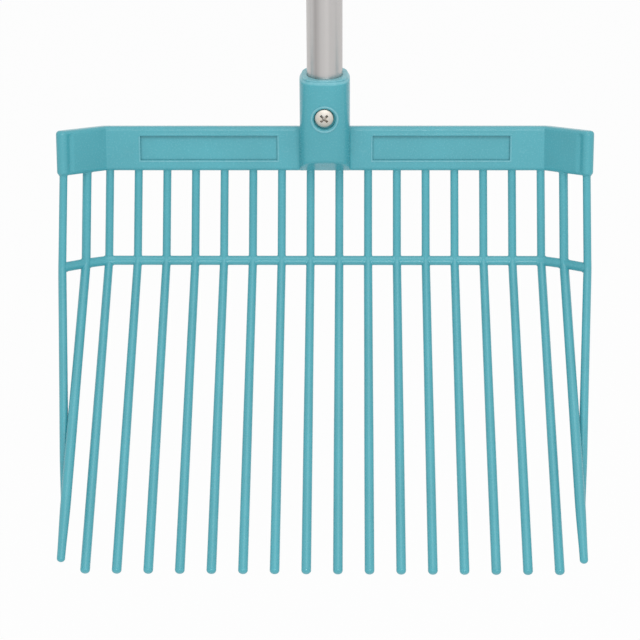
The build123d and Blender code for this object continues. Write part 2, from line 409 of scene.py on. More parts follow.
def moulded_plastic(colours):
    """Moulded polypropylene: faint flow shading, a fine orange-peel skin and uneven gloss, with
    painted highlights in a pale, patchy colour on the beads and the socket's rim, and painted shade in the panels'
    corners."""
    finish, tree, shader = nodes_of("moulded_teal_plastic")
    where = add(tree, "ShaderNodeTexCoord").outputs["Object"]
    flow = noise(tree, where, 22, 3, 0.55)
    speck = noise(tree, where, 900, 2, 0.6)
    base = tuple(colours.plastic)
    cloudy = between(tree, flow, 0.35, 0.65, 0, 1)
    flowed = tinted(tree, cloudy, scaled(base, 0.965), scaled(base, 1.035))
    split = add(tree, "ShaderNodeSeparateXYZ", {"Vector": where}).outputs
    ahead = between(tree, split["Y"], -13 * MM, -12 * MM, 1, 0)
    height = add(tree, "ShaderNodeMath", {0: split["Z"], 1: SCREW_Z}, operation="SUBTRACT").outputs[0]
    # Painted highlight: the screw ring's crest, the socket mouth's rim and slant, and the panels' lower beads are mixed
    # towards a pale colour where lamps would glint.
    crest = banded(tree, radius_of(tree, split["X"], height), BEAD_RADIUS, 0.6 * MM, 0.9 * MM)
    bead = add(tree, "ShaderNodeMath", {0: crest, 1: ahead}, operation="MULTIPLY").outputs[0]
    rim = banded(tree, split["Z"], -1.1 * MM, 1.0 * MM, 1.9 * MM)
    painted_shade, border = panel_painted_light(tree, where, split["X"])
    painted_highlight_mask = joined(tree, "MAXIMUM", bead, rim, joined(tree, "MULTIPLY", border, 0.7))
    highlight_patchiness = between(tree, noise(tree, where, 350, 2), 0.25, 0.6, 0.5, 1)
    painted_highlight = joined(tree, "MULTIPLY", painted_highlight_mask, highlight_patchiness, 0.5)
    mix = add(tree, "ShaderNodeMix", {0: painted_highlight, 6: flowed, 7: (0.30, 0.60, 0.66, 1)}, data_type="RGBA")
    # Painted shade: the panels' corners and the strip under their top edges are darkened towards a deep teal.
    painted_shade_mix = add(tree, "ShaderNodeMix", {
        0: joined(tree, "MULTIPLY", painted_shade, 0.7), 6: mix.outputs[2], 7: (0.035, 0.22, 0.265, 1)
    }, data_type="RGBA")
    tree.links.new(painted_shade_mix.outputs[2], shader.inputs["Base Color"])
    gloss = between(tree, speck, 0.3, 0.7, colours.plastic_roughness - 0.05, colours.plastic_roughness + 0.05)
    tree.links.new(gloss, shader.inputs["Roughness"])
    shader.inputs["IOR"].default_value = 1.49
    wave = noise(tree, where, 75, 1)
    skin = noise(tree, where, 1500, 2)
    sunk = add(tree, "ShaderNodeBump", {"Strength": 0.35, "Distance": 0.00006, "Height": wave})
    peel = add(tree, "ShaderNodeBump", {
        "Strength": 0.15, "Distance": 0.000012, "Height": skin, "Normal": sunk.outputs["Normal"]
    })
    tree.links.new(peel.outputs["Normal"], shader.inputs["Normal"])
    return finish


def drawn_aluminium(colours):
    """Drawn tube: lengthwise die lines in colour, gloss and height, and one painted dark reflection line a little left
    of the front.
    """
    finish, tree, shader = nodes_of("drawn_aluminium")
    shader.inputs["Metallic"].default_value = 1
    where = add(tree, "ShaderNodeTexCoord").outputs["Object"]
    along = add(tree, "ShaderNodeMapping", {"Vector": where, "Scale": (1, 1, 0.004)})
    broad = noise(tree, along.outputs["Vector"], 170, 2, 0.6)
    fine = noise(tree, along.outputs["Vector"], 1500, 3, 0.7)
    # Painted reflection: a darker line a little left of the front, fixed on the tube, stands in for a dark reflection
    # running down it.
    split = add(tree, "ShaderNodeSeparateXYZ", {"Vector": where})
    front = add(tree, "ShaderNodeMath", {0: split.outputs["Y"], 1: -1.0}, operation="MULTIPLY")
    turn = add(tree, "ShaderNodeMath", {0: split.outputs["X"], 1: front.outputs[0]}, operation="ARCTAN2")
    away = add(tree, "ShaderNodeMath", {0: turn.outputs[0], 1: 0.5}, operation="ADD")
    gap = add(tree, "ShaderNodeMath", {0: away.outputs[0]}, operation="ABSOLUTE")
    painted_dark_reflection = between(tree, gap.outputs[0], 0.04, 0.26, 1, 0)
    base = tuple(colours.aluminium)
    streaked = tinted(tree, between(tree, broad, 0.35, 0.65, 0, 1), scaled(base, 0.94), scaled(base, 1.05))
    mix = add(tree, "ShaderNodeMix", {0: painted_dark_reflection}, data_type="RGBA", blend_type="MULTIPLY")
    tree.links.new(streaked, mix.inputs[6])
    mix.inputs[7].default_value = (0.76, 0.75, 0.75, 1)
    tree.links.new(mix.outputs[2], shader.inputs["Base Color"])
    gloss = between(tree, fine, 0.3, 0.7, 0.3, 0.4)
    tree.links.new(gloss, shader.inputs["Roughness"])
    bump = add(tree, "ShaderNodeBump", {"Strength": 0.25, "Distance": 0.00001, "Height": fine})
    tree.links.new(bump.outputs["Normal"], shader.inputs["Normal"])
    return finish


def zinc_plate(colours):
    """Zinc plating: bright metal with a faint warm bloom, fine pitting and painted shade in the screw's recess."""
    finish, tree, shader = nodes_of("zinc_plated_steel")
    shader.inputs["Metallic"].default_value = 1
    where = add(tree, "ShaderNodeTexCoord").outputs["Object"]
    bloom = noise(tree, where, 260, 3, 0.6)
    base = tuple(colours.zinc)
    warm = (base[0] * 1.04, base[1] * 0.99, base[2] * 0.93)
    plated = tinted(tree, between(tree, bloom, 0.35, 0.65, 0, 1), base, scaled(warm, 1.0))
    split = add(tree, "ShaderNodeSeparateXYZ", {"Vector": where}).outputs
    height = add(tree, "ShaderNodeMath", {0: split["Z"], 1: SCREW_Z}, operation="SUBTRACT").outputs[0]
    reach = radius_of(tree, split["X"], height)
    top = -(SEAT + HEAD_HEIGHT)
    limits = (
        between(tree, reach, 0.8 * MM, 1.3 * MM, 0.25, 1),
        between(tree, reach, 3.5 * MM, 3.9 * MM, 1, 0),
        between(tree, split["Y"], top + 0.35 * MM, top + 1.1 * MM, 0, 1),
        between(tree, split["Y"], -SEAT - 0.6 * MM, -SEAT - 0.4 * MM, 1, 0),
    )
    # Painted shade: the cross recess is darkened towards near-black, where its walls would shade it.
    painted_recess_shade = 0.5
    for limit in limits:
        painted_recess_shade = add(tree, "ShaderNodeMath", {0: limit, 1: painted_recess_shade}, operation="MULTIPLY").outputs[0]
    recess_shaded = add(tree, "ShaderNodeMix", {0: painted_recess_shade}, data_type="RGBA")
    tree.links.new(plated, recess_shaded.inputs[6])
    recess_shaded.inputs[7].default_value = (0.07, 0.06, 0.05, 1)
    tree.links.new(recess_shaded.outputs[2], shader.inputs["Base Color"])
    tree.links.new(between(tree, bloom, 0.3, 0.7, 0.42, 0.56), shader.inputs["Roughness"])
    pits = noise(tree, where, 3500, 2)
    bump = add(tree, "ShaderNodeBump", {"Strength": 0.25, "Distance": 0.00001, "Height": pits})
    tree.links.new(bump.outputs["Normal"], shader.inputs["Normal"])
    return finish


def nylon_ring(colours):
    """Milky nylon with a soft mottle."""
    finish, tree, shader = nodes_of("milky_nylon")
    where = add(tree, "ShaderNodeTexCoord").outputs["Object"]
    cloud = noise(tree, where, 600, 2)
    base = tuple(colours.nylon)
    tree.links.new(tinted(tree, cloud, scaled(base, 0.93), scaled(base, 1.06)), shader.inputs["Base Color"])
    tree.links.new(between(tree, cloud, 0.3, 0.7, 0.45, 0.6), shader.inputs["Roughness"])
    return finish


FINISHES = {
    "plastic": moulded_plastic,
    "aluminium": drawn_aluminium,
    "zinc": zinc_plate,
    "nylon": nylon_ring,
}
made = {}


def finish_of(context, name):
    """One of the fork's finishes, made once."""
    if name not in made:
        made[name] = FINISHES[name](context.scene.fork_colours)
    return made[name]


# Crossbeam


def beam_centreline(along):
    """Plan of the right half: straight to the fold, an arc through the wing's fold, then straight.

    Gives the centreline's point and the direction to the back, in the beam's own x and y.
    """
    inner = FOLD_BACK_ROUND - BEAM_THICKNESS
    radius = inner + BEAM_THICKNESS / 2
    start = FOLD_X - inner * math.tan(WING_FOLD / 2)
    bend = radius * WING_FOLD
    turned = np.clip((along - start) / bend, 0, 1) * WING_FOLD
    straight = np.minimum(along, start)
    wing = np.maximum(along - start - bend, 0)
    x = straight + radius * np.sin(turned) + wing * math.cos(WING_FOLD)
    y = BEAM_THICKNESS / 2 - radius * (1 - np.cos(turned)) - wing * math.sin(WING_FOLD)
    return x, y, np.sin(turned), np.cos(turned)


def nose_distance():
    """Distance along the centreline from the middle to the outer wing tine's axis."""
    inner = FOLD_BACK_ROUND - BEAM_THICKNESS
    radius = inner + BEAM_THICKNESS / 2
    start = FOLD_X - inner * math.tan(WING_FOLD / 2)
    saved = (BEAM_THICKNESS / 2 + inner) * math.tan(WING_FOLD / 2)
    return start + radius * WING_FOLD + OUTER_WING_TINE - saved


def around(centre, reach, steps):
    """Lines set evenly to both sides of a centre."""
    return centre + np.linspace(-reach, reach, steps)


def beam_dents(sizes, along, up, nose):
    """Depth of the front's features: panel, bead, ejector marks and the hollow beside the nose.

    With d the distance inside the panel's outline, the panel is depth * ease(d / wall) and the
    bead before it is a bump (1 - u^2)^2 of u = (d + w) / w.
    """
    in_x = np.minimum(along - PANEL_X[0], PANEL_X[1] - along)
    in_z = np.minimum(up - PANEL_Z[0], PANEL_Z[1] - up)
    outside = np.hypot(np.minimum(in_x, 0), np.minimum(in_z, 0))
    inside = np.where(np.minimum(in_x, in_z) > 0, np.minimum(in_x, in_z), -outside)
    bump = np.clip(1 - ((inside + BEAD_HALF) / BEAD_HALF) ** 2, 0, 1) ** 2
    depth = sizes.panel_depth * smooth(inside / sizes.panel_wall) - sizes.panel_bead * bump
    for mark in MARKS_X:
        off = np.hypot(along - mark, up - MARKS_Z)
        depth = depth + sizes.mark_depth * smooth((MARK_RADIUS - off) / (0.9 * MM))
    reach = 3.6 * MM
    beside = np.clip(np.abs(along - nose + reach) / reach, 0, 1)
    edge = smooth(np.minimum(-up, up + BEAM_HEIGHT) / (5 * MM))
    return depth + sizes.nose_hollow * np.cos(beside * math.pi / 2) ** 2 * edge


def panel_lines(sizes, ends):
    """Grid lines across a panel's wall and bead, at both ends of its length or height."""
    steps = np.concatenate([
        np.linspace(-2.2, 0, 9) * BEAD_HALF, np.linspace(0.25, 1, 4) * sizes.panel_wall,
        [sizes.panel_wall + 0.3 * MM],
    ])
    return np.concatenate([ends[0] + steps, ends[1] - steps])


def crossbeam_patches(sizes):
    """A rounded rectangle, 9 mm by 32 mm, carried along the beam's folded centreline.

    The wing's end is the same half profile turned half round about the outer tine.
    """
    half = BEAM_THICKNESS / 2
    edge = sizes.beam_edge_round
    nose = nose_distance()
    inner_end = 14.5 * MM
    fold = FOLD_X
    marks = [around(mark, 4 * MM, 17) for mark in MARKS_X]
    along = np.unique(np.round(np.concatenate([
        np.linspace(inner_end, fold - 1 * MM, 38), panel_lines(sizes, PANEL_X), *marks,
        np.linspace(fold - 0.6 * MM, fold + 4.2 * MM, 13),
        np.linspace(fold + 5 * MM, nose - 8 * MM, 8),
        np.linspace(nose - 7.2 * MM, nose, 19),
    ]), 7))
    up = np.unique(np.round(np.concatenate([
        np.linspace(-BEAM_HEIGHT + edge + 0.15 * MM, -edge - 0.15 * MM, 9),
        panel_lines(sizes, PANEL_Z), around(MARKS_Z, 4 * MM, 17),
    ]), 7))[::-1]
    rim = arc(90, 180, 8)
    top_t = np.concatenate([[0], [-(half - edge - 0.15 * MM)], -(half - edge) + edge * np.cos(rim)])
    top_z = np.concatenate([[0, 0], -edge + edge * np.sin(rim)])
    t = np.concatenate([top_t, np.full(len(up), -half), top_t[::-1]])
    z = np.concatenate([top_z, up, -BEAM_HEIGHT - top_z[::-1]])
    back_t, back_z = -t[-2:0:-1], z[-2:0:-1]
    t, z = np.concatenate([t, back_t]), np.concatenate([z, back_z])
    count = len(top_t) * 2 + len(up)
    x, y, out, back = beam_centreline(along)
    dent = beam_dents(sizes, along[:, None], z[None, :], nose)
    wall = (np.abs(t + half) < 1e-9)[None, :]
    offset = t[None, :] + dent * wall
    skin = in_beam(x[:, None] + out[:, None] * offset, y[:, None] + back[:, None] * offset, z[None, :])
    centre = in_beam(x[0], y[0], -BEAM_HEIGHT / 2)
    inner = centre + (skin[0] - centre) * np.array([0.0, 0.6, 1.0])[:, None, None]
    turn = arc(0, 180, 25)[:, None]
    reach = -t[None, :count]
    ahead = np.array([math.cos(WING_FOLD), -math.sin(WING_FOLD)])
    front = -np.array([out[-1], back[-1]])
    round_x = x[-1] + reach * (front[0] * np.cos(turn) + 0.995 * ahead[0] * np.sin(turn))
    round_y = y[-1] + reach * (front[1] * np.cos(turn) + 0.995 * ahead[1] * np.sin(turn))
    end = in_beam(round_x, round_y, z[None, :count])
    return [grid(skin, close_columns=True), grid(inner, close_columns=True), grid(end)]


# Socket


def round_join(a, b, radius):
    """Two solids as one, with a rolled hollow round: max(r, min(a, b)) - |(r - a, r - b)| above 0."""
    return np.maximum(radius, np.minimum(a, b)) - np.hypot(
        np.maximum(radius - a, 0), np.maximum(radius - b, 0)
    )


def round_cut(a, b, radius):
    """What two solids share, with its edge rounded: min(-r, max(a, b)) + |(r + a, r + b)| above 0."""
    return np.minimum(-radius, np.maximum(a, b)) + np.hypot(
        np.maximum(radius + a, 0), np.maximum(radius + b, 0)
    )


def slope(y, z, start, end):
    """Distance below a plane through two points of the side view, seen along X."""
    across = unit(np.array([end[1] - start[1], -(end[0] - start[0])]))
    if across[1] > 0:
        across = -across
    return (y - start[0]) * across[0] + (z - start[1]) * across[1]


def plan_power(z):
    """Power n of the socket's plan, a circle squared towards a box: 3 at the mouth, 3.6 at the foot."""
    return 3 + 0.6 * smooth((-z - 6 * MM) / (44 * MM))


def socket_depth(x, z):
    """How far the socket's skin stands before or behind its axis: R (1 - |x / R|^n)^(1 / n)."""
    power = plan_power(z)
    return SOCKET_RADIUS * (1 - np.clip(np.abs(x) / SOCKET_RADIUS, 0, 1) ** power) ** (1 / power)


def socket_field(sizes, points):
    """Distance field of the socket: a barrel joined to a stub of the beam, with sloped feet.

    The barrel is (|x|^n + |y|^n)^(1 / n) - R, drawn in near its mouth by the lip's profile.
    """
    skin = 0.05 * MM
    x, y, z = points[..., 0], points[..., 1], points[..., 2]
    local = points - BEAM_ORIGIN
    back, up = local @ BEAM_BACK, local @ BEAM_UP
    half = BEAM_THICKNESS / 2
    power = plan_power(z)
    barrel = (np.abs(x) ** power + np.abs(y) ** power) ** (1 / power) - SOCKET_RADIUS
    slab = np.abs(back - half) - half + skin
    fillet = np.where(back < half, sizes.socket_front_fillet, sizes.socket_back_fillet)
    low = round_join(barrel, slab, fillet)
    low = round_cut(low, up + skin, sizes.beam_edge_round)
    low = round_cut(low, -up - BEAM_HEIGHT + skin, sizes.beam_edge_round)
    low = np.maximum(low, np.abs(x) - 23.6 * MM)
    foot = in_beam(0, 0, -BEAM_HEIGHT), in_beam(0, BEAM_THICKNESS, -BEAM_HEIGHT)
    feet = np.maximum(
        slope(y, z, FRONT_FOOT, foot[0][1:]),
        slope(y, z, foot[1][1:], REAR_FOOT),
    )
    shaft = np.maximum(barrel + lip_inset(sizes, -z), z)
    shaft = round_cut(shaft, -up - BEAM_HEIGHT + skin, 1 * MM)
    return np.minimum(round_cut(shaft, feet, 1 * MM), round_cut(low, feet, 1 * MM))


def lip_inset(sizes, down):
    """How far the barrel is drawn in below its mouth: a rounded rim, a fine groove and a slant.

    The rim is e (1 - sqrt(1 - (1 - t)^2)), the groove g (1 - u^2)^2, and the slant
    w (t + sqrt(t^2 + k^2)) / 2, which eases to nothing at its drop.
    """
    rim = 0.6 * MM
    start = 1.1 * MM
    fall = np.clip((sizes.mouth_chamfer - down) / (sizes.mouth_chamfer - start), -4, 1)
    slant = sizes.mouth_slant * (fall + np.sqrt(fall**2 + 0.03)) / 2
    groove = np.clip(1 - ((down - 0.95 * MM) / (0.42 * MM)) ** 2, 0, 1) ** 2
    return rim * hollow(down / rim) + slant + 0.3 * MM * groove


def socket_rows(sizes):
    """Heights on the axis for the socket's slices, close together where its form changes fast."""
    mouth = np.concatenate([[0, -0.03 * MM, -0.09 * MM], np.linspace(-0.18 * MM, -sizes.mouth_chamfer - 0.8 * MM, 28)])
    rise = BEAM_UP[2]
    top = (BEAM_ORIGIN @ BEAM_UP) / rise
    rim = top - sizes.beam_edge_round / rise * (1 - np.sin(arc(90, 0, 9)))
    low = top - BEAM_HEIGHT / rise
    return np.unique(np.round(np.concatenate([
        mouth - 1e-7, np.linspace(-4.2, -38.2, 30) * MM,
        [top + 0.6 * MM, top + 0.02 * MM], rim - 0.05 * MM,
        np.linspace(-43.0, -58.0, 14) * MM, np.linspace(-58.6, -71.8, 23) * MM,
        low + np.array([0.9, 0.6, 0.35, 0.15, 0.06]) * MM,
    ]), 8))[::-1]


def socket_patches(sizes):
    """The socket's skin: for each slice and angle, the distance from the axis where the field is 0.

    Slices turn from level at the mouth to the beam's lean below. Round ports are set into blocks
    of the grid, in front for the screw's head and behind for the nut.
    """
    heights = socket_rows(sizes)
    columns = 270
    angle = np.radians(np.arange(columns) * 360 / columns)
    tilt = BEAM_LEAN * smooth((-heights - 2 * MM) / (32 * MM))
    spread = np.stack(np.broadcast_arrays(
        np.sin(angle)[None, :],
        -np.cos(angle)[None, :] * np.cos(tilt)[:, None],
        np.cos(angle)[None, :] * np.sin(tilt)[:, None],
    ), -1)
    centres = heights[:, None, None] * np.array([0, 0, 1.0])
    near = np.full((len(heights), columns), 0.2 * MM)
    far = np.full_like(near, 45 * MM)
    for _ in range(40):
        middle = (near + far) / 2
        inside = socket_field(sizes, centres + spread * middle[..., None]) < 1e-9
        near, far = np.where(inside, middle, near), np.where(inside, far, middle)
    skin = centres + spread * near[..., None]
    last = centres[-1, 0]
    bottom = last + (skin[-1] - last) * np.array([1.0, 0.7, 0.35, 0.0])[:, None, None]
    bore_r = np.array([np.nan, BORE_RADIUS + BORE_LEAD + 1.5 * MM, BORE_RADIUS + BORE_LEAD + 0.03 * MM,
                       BORE_RADIUS + BORE_LEAD, BORE_RADIUS, BORE_RADIUS, BORE_RADIUS, BORE_RADIUS, 0])
    bore_z = np.array([0, 0, 0, -0.03 * MM, -BORE_LEAD, -BORE_LEAD - 0.3 * MM, -BORE_DEPTH + 0.2 * MM, -BORE_DEPTH, -BORE_DEPTH])
    ring = np.stack([np.sin(angle), -np.cos(angle)], -1)
    bore = np.concatenate([ring * bore_r[1:, None, None], np.broadcast_to(bore_z[1:, None, None], (8, columns, 1))], -1)
    bore = np.concatenate([skin[:1], bore])
    reach_z, half_columns = 11.4 * MM, 30
    front_rows = [np.argmin(np.abs(skin[:, 0, 2] - SCREW_Z - sign * reach_z)) for sign in (1, -1)]
    rear_rows = [np.argmin(np.abs(skin[:, columns // 2, 2] - SCREW_Z - sign * reach_z)) for sign in (1, -1)]
    front_block = (*front_rows, -half_columns % columns, 2 * half_columns)
    rear_block = (*rear_rows, columns // 2 - half_columns, 2 * half_columns)
    points, quads = opened(skin, front_block, rear_block)
    front = screw_port(sizes, border(skin, *front_block))
    rear = nut_port(sizes, border(skin, *rear_block))
    return [
        (points, quads),
        grid(bottom, close_columns=True),
        grid(bore, close_columns=True),
        grid(front, close_columns=True),
        grid(rear, close_columns=True),
    ]


def port_rings(rim, centre_z, side, depth, rings):
    """Rings from a block's border in to a hole; each ring is (radius, lift, level y, share of level).

    A ring's depth is the skin's own plus its lift, mixed with a level one.
    """
    turn = np.arctan2(rim[:, 2] - centre_z, rim[:, 0])
    rows = [rim]
    first = rings[0][0](turn) if callable(rings[0][0]) else np.full(len(turn), rings[0][0])
    ring_x, ring_z = first * np.cos(turn), centre_z + first * np.sin(turn)
    for done in (0.35, 0.7):
        x = rim[:, 0] + (ring_x - rim[:, 0]) * done
        z = rim[:, 2] + (ring_z - rim[:, 2]) * done
        rows.append(np.stack([x, side * depth(x, z), z], -1))
    for reach, lift, level, mix in rings:
        reach = reach(turn) if callable(reach) else np.full(len(turn), reach)
        x, z = reach * np.cos(turn), centre_z + reach * np.sin(turn)
        y = (depth(x, z) + lift) * (1 - mix) + level * mix
        rows.append(np.stack([x, side * y, z], -1))
    return np.stack(rows)


def screw_port(sizes, rim):
    """Raised bead and counterbore for the screw's head, with small rounds at its edges.

    The bead's lift over the skin is h sqrt(1 - u^2) for u from -1 to 1 across it.
    """
    well, bead, half = 7.9 * MM, BEAD_RADIUS, 0.8 * MM
    across = np.sin(arc(-90, 90, 13))
    crown = [(bead - half * u, sizes.ring_height * math.sqrt(1 - u * u), 0, 0) for u in across]
    edge = 0.25 * MM
    land = [(bead + half + 0.2 * MM, 0, 0, 0)] + crown + [(well + edge + 0.12 * MM, 0, 0, 0)]
    lip = [(well + edge * (1 - math.sin(b)), -edge * (1 - math.cos(b)), 0, 0) for b in arc(0, 90, 6)]
    walls = [(well, -0.6 * MM, 0, 0), (well, 0, SEAT + 0.25 * MM, 1)]
    floor = [(well - 0.25 * MM, 0, SEAT, 1), (3.2 * MM, 0, SEAT, 1), (3.2 * MM, 0, SEAT - 0.6 * MM, 1),
             (0, 0, SEAT - 0.6 * MM, 1)]
    rings = [(10.9 * MM, 0, 0, 0)] + land + lip + walls + floor
    return port_rings(rim, SCREW_Z, -1, socket_depth, rings)


def hexagon(flats, turn):
    """Radius of a hexagon with corners on the X axis: half the flats over cos of the angle from a flat."""
    return flats / 2 / np.cos(np.mod(turn, math.pi / 3) - math.pi / 6)


def pocket_wall(inset):
    """Radius of the nut's pocket with an inset, as a function of the turn."""
    def radius(turn):
        return hexagon(10.2 * MM, turn) + inset
    return radius


def nut_port(sizes, rim):
    """Boss behind the socket with a hexagonal pocket, a hollow round at its foot and rounded edges."""
    boss, end, foot, edge = 9.5 * MM, 22 * MM, 1.2 * MM, 0.6 * MM
    flare = [(boss + foot * (1 - math.sin(b)), foot * (1 - math.cos(b)), 0, 0) for b in arc(0, 90, 6)]
    crown = [(boss - edge + edge * math.cos(b), 0, end - edge + edge * math.sin(b), 1) for b in arc(0, 90, 6)]
    walls = [(0.5, 0), (0.35, 0), (0.1, 0.1), (0, 0.35), (0, end / MM - SEAT / MM - 0.2), (-0.2, end / MM - SEAT / MM)]
    walls = [(pocket_wall(inset * MM), 0, end - sunk * MM, 1) for inset, sunk in walls]
    floor = [(3.2 * MM, 0, SEAT, 1), (3.2 * MM, 0, SEAT - 0.6 * MM, 1), (0, 0, SEAT - 0.6 * MM, 1)]
    rings = [(11 * MM, 0, 0, 0)] + flare + crown + [(boss - edge - 0.2 * MM, 0, end, 1)] + walls + floor
    return port_rings(rim, SCREW_Z, 1, socket_depth, rings)


# Tines and rib


def rounded_path(corners, radius):
    """A chain of straight runs with an arc at each inner corner, as close points."""
    corners = [np.asarray(corner, float) for corner in corners]
    parts = [corners[0][None]]
    for before, corner, after in zip(corners, corners[1:], corners[2:]):
        came, goes = unit(corner - before), unit(after - corner)
        turn = math.acos(np.clip(came @ goes, -1, 1))
        if turn < 1e-4:
            continue
        back = radius * math.tan(turn / 2)
        side = unit(goes - came * math.cos(turn))
        swing = np.linspace(0, turn, 33)[:, None]
        parts.append(corner - came * back + came * radius * np.sin(swing) + side * radius * (1 - np.cos(swing)))
    parts.append(corners[-1][None])
    return np.concatenate(parts)


def run_lengths(path):
    """Distance of each point of a path from its start."""
    return np.concatenate([[0], np.cumsum(np.linalg.norm(np.diff(path, axis=0), axis=1))])


def along_path(path, distance):
    """Points and directions of a path at given distances from its start."""
    total = run_lengths(path)
    near = np.clip(np.stack([distance, distance + 0.2 * MM, distance - 0.2 * MM]), 0, total[-1])
    here, after, before = np.stack([np.interp(near, total, path[:, axis]) for axis in range(3)], -1)
    return here, unit(after - before), total[-1]


def rod(points, ahead, upright, radius, columns):
    """A circle carried along a path: point + radius (side cos a + over sin a), square to the path."""
    over = unit(upright - (ahead @ upright)[:, None] * ahead)
    side = np.cross(ahead, over)
    turn = np.radians(np.arange(columns) * 360 / columns)
    spokes = over[:, None] * np.cos(turn)[None, :, None] + side[:, None] * np.sin(turn)[None, :, None]
    return points[:, None] + spokes * radius[..., None], spokes


def tine_plan():
    """Root, knee, end, two directions, stoutness and slimness of the tip of each right-hand tine."""
    upper, lower = leaning_down(UPPER_LEAN), leaning_down(LOWER_LEAN)
    outer = leaning_down(OUTER_LEAN, OUTER_INWARD)
    nose = nose_distance()
    stations = [((n + 0.5) * TINE_PITCH, lower, FLAT_LENGTH, 1.0, 1.0) for n in range(FLAT_TINES // 2)]
    stations.append((nose - (OUTER_WING_TINE - FIRST_WING_TINE), lower, SECOND_LENGTH, 1.09, 0.78))
    stations.append((nose, outer, OUTER_LENGTH, 0.96, 0.85))
    tines = []
    for along, way, run, stout, slim in stations:
        x, y, _, _ = beam_centreline(np.array(along))
        root = in_beam(x, y, -BEAM_HEIGHT)
        knee = root + upper * UPPER_LENGTH
        tines.append((root, knee, knee + way * (run - TIP_SETBACK), upper, way, stout, slim))
    return tines


def tine_patches(sizes, root, knee, end, upper, way, stout, slim):
    """A round rod from the beam through its bend to a blunt round tip, with a small root fillet.

    Radius against distance s: a hollow round at the beam, then the tine's own radius, which grows
    below the bend, times the tip's taper, then at the tip R - c + c cos b at s = L - c + c sin b.
    """
    tip = sizes.tine_tip_round
    path = rounded_path([root - upper * ROOT_REACH, knee, end], BEND_RADIUS)
    _, _, whole = along_path(path, np.zeros(1))
    bend = ROOT_REACH + UPPER_LENGTH
    curl = arc(0, 90, 9)
    distance = np.concatenate([
        [0, 0], ROOT_REACH + np.linspace(-1.6, 2.6, 22) * MM,
        ROOT_REACH + np.linspace(5, 52, 9) * MM, bend + np.linspace(-9, 9, 19) * MM,
        np.linspace(bend + 16 * MM, whole - 50 * MM, 14),
        np.linspace(whole - 45 * MM, whole - 4 * MM, 12),
        whole - tip + tip * np.sin(curl), [whole],
    ])
    points, ahead, _ = along_path(path, distance)
    thin, thick = sizes.tine_diameter / 2, sizes.tine_end_diameter / 2
    grown = np.interp(distance, bend + np.array([-6, 8, 95, 145]) * MM, [0, 0.45, 0.6, 1])
    plain = stout * (thin + (thick - thin) * grown)
    plain = plain * (1 - (1 - slim) * smooth((distance - whole + 45 * MM) / (45 * MM)))
    plain[-2 - len(curl) + 1:-1] += tip * (np.cos(curl) - 1)
    plain[0] = plain[-1] = 0
    columns = 32
    surface, spokes = rod(points, ahead, BEAM_ACROSS, np.repeat(plain[:, None], columns, 1), columns)
    below = -((surface - root) @ BEAM_UP)
    fillet = sizes.tine_root_fillet
    near = (np.abs(distance - ROOT_REACH) < 8 * MM)[:, None]
    surface = surface + spokes * (fillet * hollow(below / fillet) * near)[..., None]
    surface[0] = points[0]
    return [grid(surface, close_columns=True)]


def rib_patches(sizes):
    """An oval rib carried through the bends of all tines, with a small hollow flare on both sides of each.

    Its section is an ellipse, 1 / sqrt((cos a / A)^2 + (sin a / B)^2), with A along the tines.
    """
    fillet = sizes.rib_fillet
    right, facing = [], []
    for _, knee, _, upper, way, _, _ in tine_plan():
        turn = math.acos(upper @ way)
        right.append(knee + unit(way - upper) * BEND_RADIUS * (1 / math.cos(turn / 2) - 1))
        facing.append(unit(upper + way))
    corners = [mirrored(point) for point in right[::-1]] + right
    directions = np.array([mirrored(face) for face in facing[::-1]] + facing)
    path = rounded_path([corners[0], corners[1], corners[2], corners[-3], corners[-2], corners[-1]], 15 * MM)
    total = run_lengths(path)
    nearest = [total[np.argmin(np.linalg.norm(path - point, axis=1))] for point in corners]
    flat = np.array(corners)[:, 0]
    nearest = np.where(np.abs(flat) < abs(flat[2]) - MM, total[-1] / 2 + flat, nearest)
    tine = (sizes.tine_diameter / 2 + sizes.tine_end_diameter / 2) / 2
    flare = tine + fillet * np.linspace(-0.2, 1.1, 8)
    offsets = np.concatenate([[0, 1.6 * MM], flare, [tine + 1.5 * MM, tine + 3 * MM, 9.5 * MM]])
    offsets = np.concatenate([-offsets[::-1], offsets[1:]])
    distance = np.unique(np.round((nearest[:, None] + offsets).ravel(), 6))
    distance = distance[(distance >= 0) & (distance <= total[-1])]
    distance = np.concatenate([[0], distance, [total[-1]]])
    points, ahead, _ = along_path(path, distance)
    gaps = np.abs(distance[:, None] - nearest[None, :])
    closest = np.argmin(gaps, axis=1)
    away = gaps[np.arange(len(distance)), closest]
    columns = 36
    turn = np.radians(np.arange(columns) * 360 / columns)
    oval = 1 / np.hypot(np.cos(turn) / (sizes.rib_height / 2), np.sin(turn) / (sizes.rib_depth / 2))
    section = np.repeat(oval[None, :], len(distance), 0)
    section[0] = section[-1] = 0
    surface, spokes = rod(points, ahead, facing[0], section, columns)
    lined = np.einsum("rcx,rx->rc", spokes, directions[closest]) ** 2
    swell = fillet * hollow((away - tine) / fillet)[:, None] * lined
    swell[0] = swell[-1] = 0
    surface = surface + spokes * swell[..., None]
    return [grid(surface, close_columns=True)]


# Handle and fasteners


def turned(profile, columns):
    """A profile of (radius, height) points turned about the handle's axis."""
    turn = np.radians(np.arange(columns) * 360 / columns)
    profile = np.asarray(profile)
    radius, height = profile[:, 0, None], np.broadcast_to(profile[:, 1, None], (len(profile), columns))
    return np.stack([radius * np.sin(turn), -radius * np.cos(turn), height], -1)


